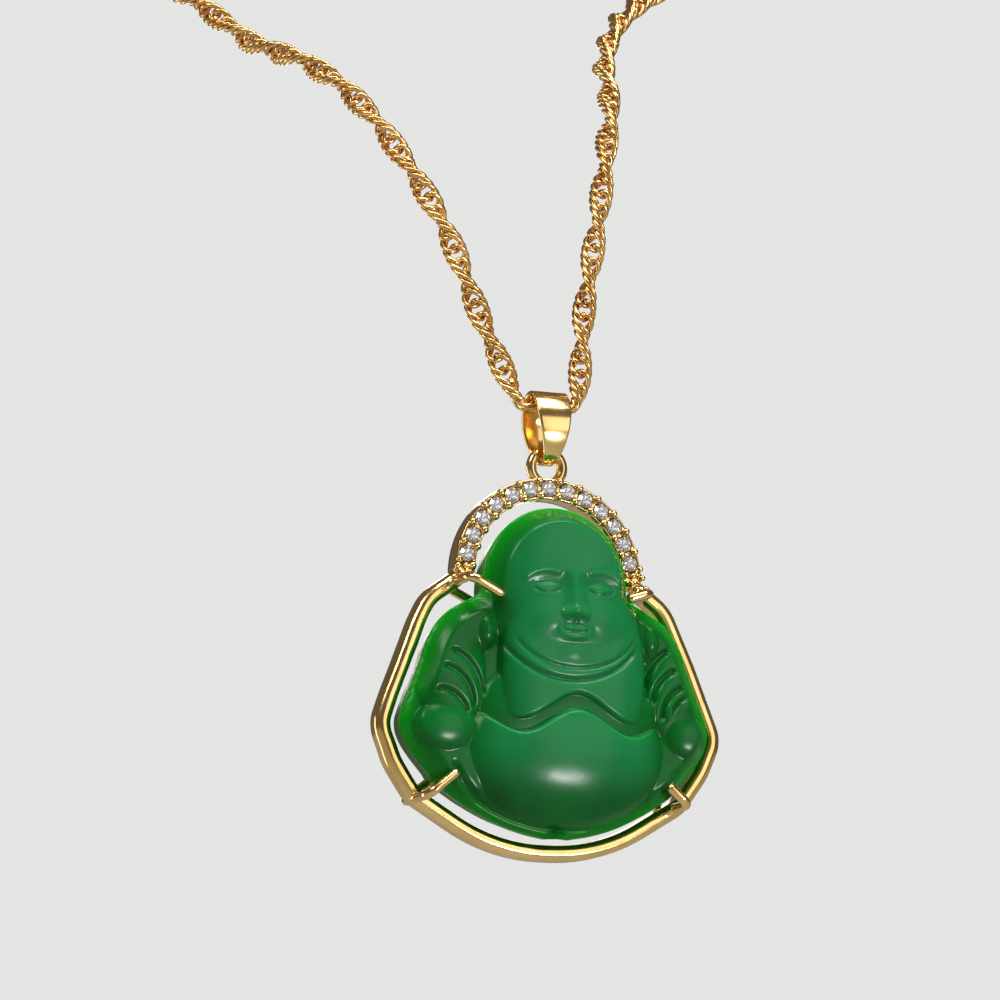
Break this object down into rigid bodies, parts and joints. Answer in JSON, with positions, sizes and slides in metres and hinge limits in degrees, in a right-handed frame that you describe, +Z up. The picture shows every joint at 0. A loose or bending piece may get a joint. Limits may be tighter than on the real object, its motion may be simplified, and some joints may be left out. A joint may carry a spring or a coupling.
{
  "type": "jade buddha pendant necklace",
  "caption": "Carved green jade seated buddha in a wavy gold frame with a stone-set arch, hanging by a tapered bail on a twisted flat gold chain.",
  "frame": {"origin": "nape point, in the middle of the clasp at the top of the chain's loop", "axes": "+Z up, -Y towards the front of the wearer, where the pendant faces, +X on the viewer's right"},
  "size_m": [0.1121, 0.1433, 0.1267],
  "materials": {
    "chain_gold": "polished",
    "pendant_gold": "polished",
    "green_jade": "polished translucent stone",
    "clear_stone": "faceted, clear"
  },
  "bodies": {
    "chain_loop": {"chain": "chain_gold", "clasp": "chain_gold"},
    "bail_band": {"bail": "pendant_gold"},
    "pendant": {"pendant_frame": "pendant_gold", "jade_buddha": "green_jade", "stone_01": "clear_stone", "stone_02": "clear_stone", "stone_03": "clear_stone", "stone_04": "clear_stone", "stone_05": "clear_stone", "stone_06": "clear_stone", "stone_07": "clear_stone", "stone_08": "clear_stone", "stone_09": "clear_stone", "stone_10": "clear_stone", "stone_11": "clear_stone", "stone_12": "clear_stone", "stone_13": "clear_stone"}
  },
  "joints": [
    {"name": "bail_swing", "type": "hinge", "parent": "chain_loop", "child": "bail_band", "pos_m": [0.0062, -0.137, -0.08765], "axis": [1, 0, 0], "range_deg": [-60, 60]},
    {"name": "pendant_swing", "type": "hinge", "parent": "bail_band", "child": "pendant", "pos_m": [0.0062, -0.137, -0.09133], "axis": [1, 0, 0], "range_deg": [-60, 60]}
  ]
}
